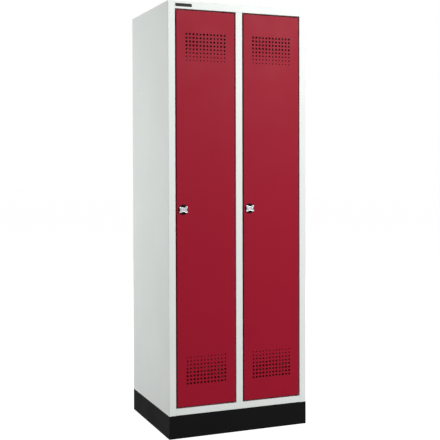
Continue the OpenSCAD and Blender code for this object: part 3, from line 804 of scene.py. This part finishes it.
class LOCKER_OT_hinge_fittings(bpy.types.Operator):
    """Turns the hinge pins and the nylon bushes that they run in"""

    bl_idname = "locker.hinge_fittings"
    bl_label = "Hinge pins and bushes"

    def execute(self, context):
        sizes = context.scene.locker_hardware
        nylon = moulded("black_nylon", (0.012, 0.012, 0.013), 0.45, scale=500, depth=0.00001)
        pin, chamfer = sizes.pin / 2, 0.0008
        head_height, head_chamfer = 0.0025, 0.0007

        low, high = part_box("upper_hinge_pins")
        head = (high.y - low.y) / 2
        self.pins("upper", sizes, [
            (0, low.z), (pin - chamfer, low.z), (pin, low.z + chamfer),
            (pin, high.z - head_height), (head, high.z - head_height),
            (head, high.z - head_chamfer), (head - head_chamfer, high.z), (0, high.z)])

        low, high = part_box("lower_hinge_pins")
        self.pins("lower", sizes, [
            (0, low.z), (pin, low.z), (pin, high.z - chamfer), (pin - chamfer, high.z),
            (0, high.z)])

        for side in SIDES:
            self.bushes(side, sizes, nylon)
        return {"FINISHED"}

    def pins(self, level, sizes, profile):
        """Upper or lower pins of both doors."""
        low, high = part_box(f"{level}_hinge_pins")
        radius = (high.y - low.y) / 2
        part = bmesh.new()
        lathed(part, profile, sizes.steps)
        whole = bmesh.new()
        placed(whole, part, *(at(x, (low.y + high.y) / 2, 0) for x in paired(low.x + radius)))
        piece(f"{level}_pivots", whole, zinc(), "carcass", "zinc", f"{level}_hinge_pins")

    def bushes(self, side, sizes, nylon):
        """Collared bush in the door's lower end, and the same one upside down in its upper end."""
        name = f"{side}_hinge_bushes"
        low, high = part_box(name)
        door_low, door_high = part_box(f"{side}_door_panel")
        centre = (low + high) / 2
        collar, tube = (high.x - low.x) / 2, sizes.bush / 2
        bore = sizes.pin / 2 + 0.00005
        depth, edge = 0.009, 0.0004
        under = door_low.z - low.z
        profile = softened([(bore, -under), (collar, -under), (collar, 0), (tube, 0),
                            (tube, depth), (bore, depth)], edge)
        part = bmesh.new()
        lathed(part, profile, sizes.steps, closed=True)
        whole = bmesh.new()
        placed(whole, part, at(centre.x, centre.y, door_low.z),
               at(centre.x, centre.y, door_high.z) @ Matrix.Scale(-1, 4, (0, 0, 1)))
        piece(f"{side}_nylon_bushes", whole, nylon, f"{side}_door", "bush_plastic", name)


class LOCKER_OT_door_buffers(bpy.types.Operator):
    """Makes the rubber buffers on the stop lips"""

    bl_idname = "locker.door_buffers"
    bl_label = "Door buffers"

    def execute(self, context):
        rubber = moulded("buffer_rubber", (0.035, 0.035, 0.036), 0.78,
                         scale=1500, depth=0.00003, specular=0.25)
        low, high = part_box("door_buffers")
        thick = high.y - low.y
        radius, steps = 0.0035, 28
        part = bmesh.new()
        lathed(part, [(0, 0), (radius - 0.0002, 0), (radius, 0.0003), (radius, thick * 0.45),
                      (radius * 0.9, thick * 0.75), (radius * 0.65, thick * 0.93), (0, thick)],
               steps)
        whole = bmesh.new()
        placed(whole, part, *(to_front(x, high.y, z)
                              for x in paired(low.x + radius) for z in BUFFER_HEIGHTS))
        piece("rubber_buffers", whole, rubber, "carcass", "rubber", "door_buffers")
        return {"FINISHED"}


class LOCKER_OT_rivets(bpy.types.Operator):
    """Makes the painted rivets that hold the shelves and the top"""

    bl_idname = "locker.rivets"
    bl_label = "Rivets"

    def execute(self, context):
        paint = bpy.data.materials["body_powder_coat"]
        sizes = context.scene.locker_hardware
        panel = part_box("left_side_panel")[0].x
        two_sheets, three_sheets = 0.002, 0.003
        for name, label, inner in (("shelf_rivets", "shelf_rivet_row", True),
                                   ("top_rivets", "top_rivet_row", False)):
            low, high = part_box(name)
            head, proud = (high.z - low.z) / 2, panel - low.x
            z = (low.z + high.z) / 2
            whole = bmesh.new()
            for y in (low.y + head, high.y - head):
                outside = to_right(panel, y, z)
                placed(whole, self.rivet(head, proud, two_sheets, sizes), outside,
                       Matrix.Scale(-1, 4, (1, 0, 0)) @ outside)
                if inner:
                    placed(whole, self.rivet(head, proud, three_sheets, sizes),
                           to_right(-three_sheets / 2, y, z))
            piece(label, whole, paint, "carcass", "body_paint", name)
        return {"FINISHED"}

    def rivet(self, head, proud, grip, sizes):
        """Domed head, shank through the sheets that it grips, and set end."""
        tail, shank = sizes.rivet_tail / 2, 0.002
        part = bmesh.new()
        lathed(part, [(0, -proud), (head * 0.35, -proud * 0.97), (head * 0.65, -proud * 0.82),
                      (head * 0.88, -proud * 0.5), (head, -proud * 0.08), (head, 0), (shank, 0),
                      (shank, grip), (tail, grip), (tail, grip + 0.0006),
                      (tail * 0.75, grip + 0.0013), (0.0008, grip + 0.0015), (0, grip + 0.0011)],
               sizes.steps // 2)
        return part


class LOCKER_OT_name_plate(bpy.types.Operator):
    """Makes the blank plate on the top rail"""

    bl_idname = "locker.name_plate"
    bl_label = "Blank plate"

    def execute(self, context):
        black = known("moulded_plastic", moulded, context.scene.locker_paint.plastic, 0.42)
        low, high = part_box("name_plate")
        half_w, half_h = (high.x - low.x) / 2, (high.z - low.z) / 2
        corner, edge = 0.0015, 0.0003
        x, y = half_w - corner, half_h - corner
        part = bmesh.new()
        drawn(part, (half_w, -y), (half_w, y), (x, y, 90), (-x, half_h), (-x, y, 90),
              (-half_w, -y), (-x, -y, 90), (x, -half_h), (x, -y, 90))
        bmesh.ops.contextual_create(part, geom=part.edges[:])
        raised(part, high.y - low.y)
        rounded(part, edge, 2, lambda e: all(v.co.z > 0.0005 for v in e.verts))
        front = max(part.faces, key=lambda f: f.calc_area() + f.calc_center_median().z)
        bmesh.ops.inset_region(part, faces=[front], thickness=0.0008, depth=-0.0002,
                               use_even_offset=True)
        whole = bmesh.new()
        placed(whole, part, to_front((low.x + high.x) / 2, high.y, (low.z + high.z) / 2))
        piece("blank_plate", whole, black, "carcass", "black_plate", "name_plate")
        return {"FINISHED"}


MAKERS = (
    LOCKER_OT_camera,
    LOCKER_OT_stage,
    LOCKER_OT_painted_sheets,
    LOCKER_OT_metal_fittings,
    LOCKER_OT_latch_knobs,
    LOCKER_OT_latch_barrels,
    LOCKER_OT_latch_fixings,
    LOCKER_OT_coat_hooks,
    LOCKER_OT_hinge_fittings,
    LOCKER_OT_door_buffers,
    LOCKER_OT_rivets,
    LOCKER_OT_name_plate,
)


class LOCKER_PT_panel(bpy.types.Panel):
    """Sizes, colours and steps of the locker"""

    bl_label = "Clothing Locker"
    bl_idname = "LOCKER_PT_panel"
    bl_space_type = "VIEW_3D"
    bl_region_type = "UI"
    bl_category = "Locker"

    def draw(self, context):
        scene = context.scene
        for group in (scene.locker_paint, scene.locker_hardware, scene.locker_studio):
            box = self.layout.box()
            for name in group.__annotations__:
                box.prop(group, name)
        for maker in MAKERS:
            self.layout.operator(maker.bl_idname)


CLASSES = (LockerPaint, LockerHardware, LockerStudio, LOCKER_PT_panel) + MAKERS


def register():
    for made in CLASSES:
        bpy.utils.register_class(made)
    bpy.types.Scene.locker_paint = PointerProperty(type=LockerPaint)
    bpy.types.Scene.locker_hardware = PointerProperty(type=LockerHardware)
    bpy.types.Scene.locker_studio = PointerProperty(type=LockerStudio)


def unregister():
    del bpy.types.Scene.locker_studio
    del bpy.types.Scene.locker_hardware
    del bpy.types.Scene.locker_paint
    for made in reversed(CLASSES):
        bpy.utils.unregister_class(made)


def main():
    register()
    bpy.context.scene.view_settings.view_transform = "Standard"
    for maker in MAKERS:
        group, name = maker.bl_idname.split(".")
        getattr(getattr(bpy.ops, group), name)()


if __name__ == "__main__":
    main()
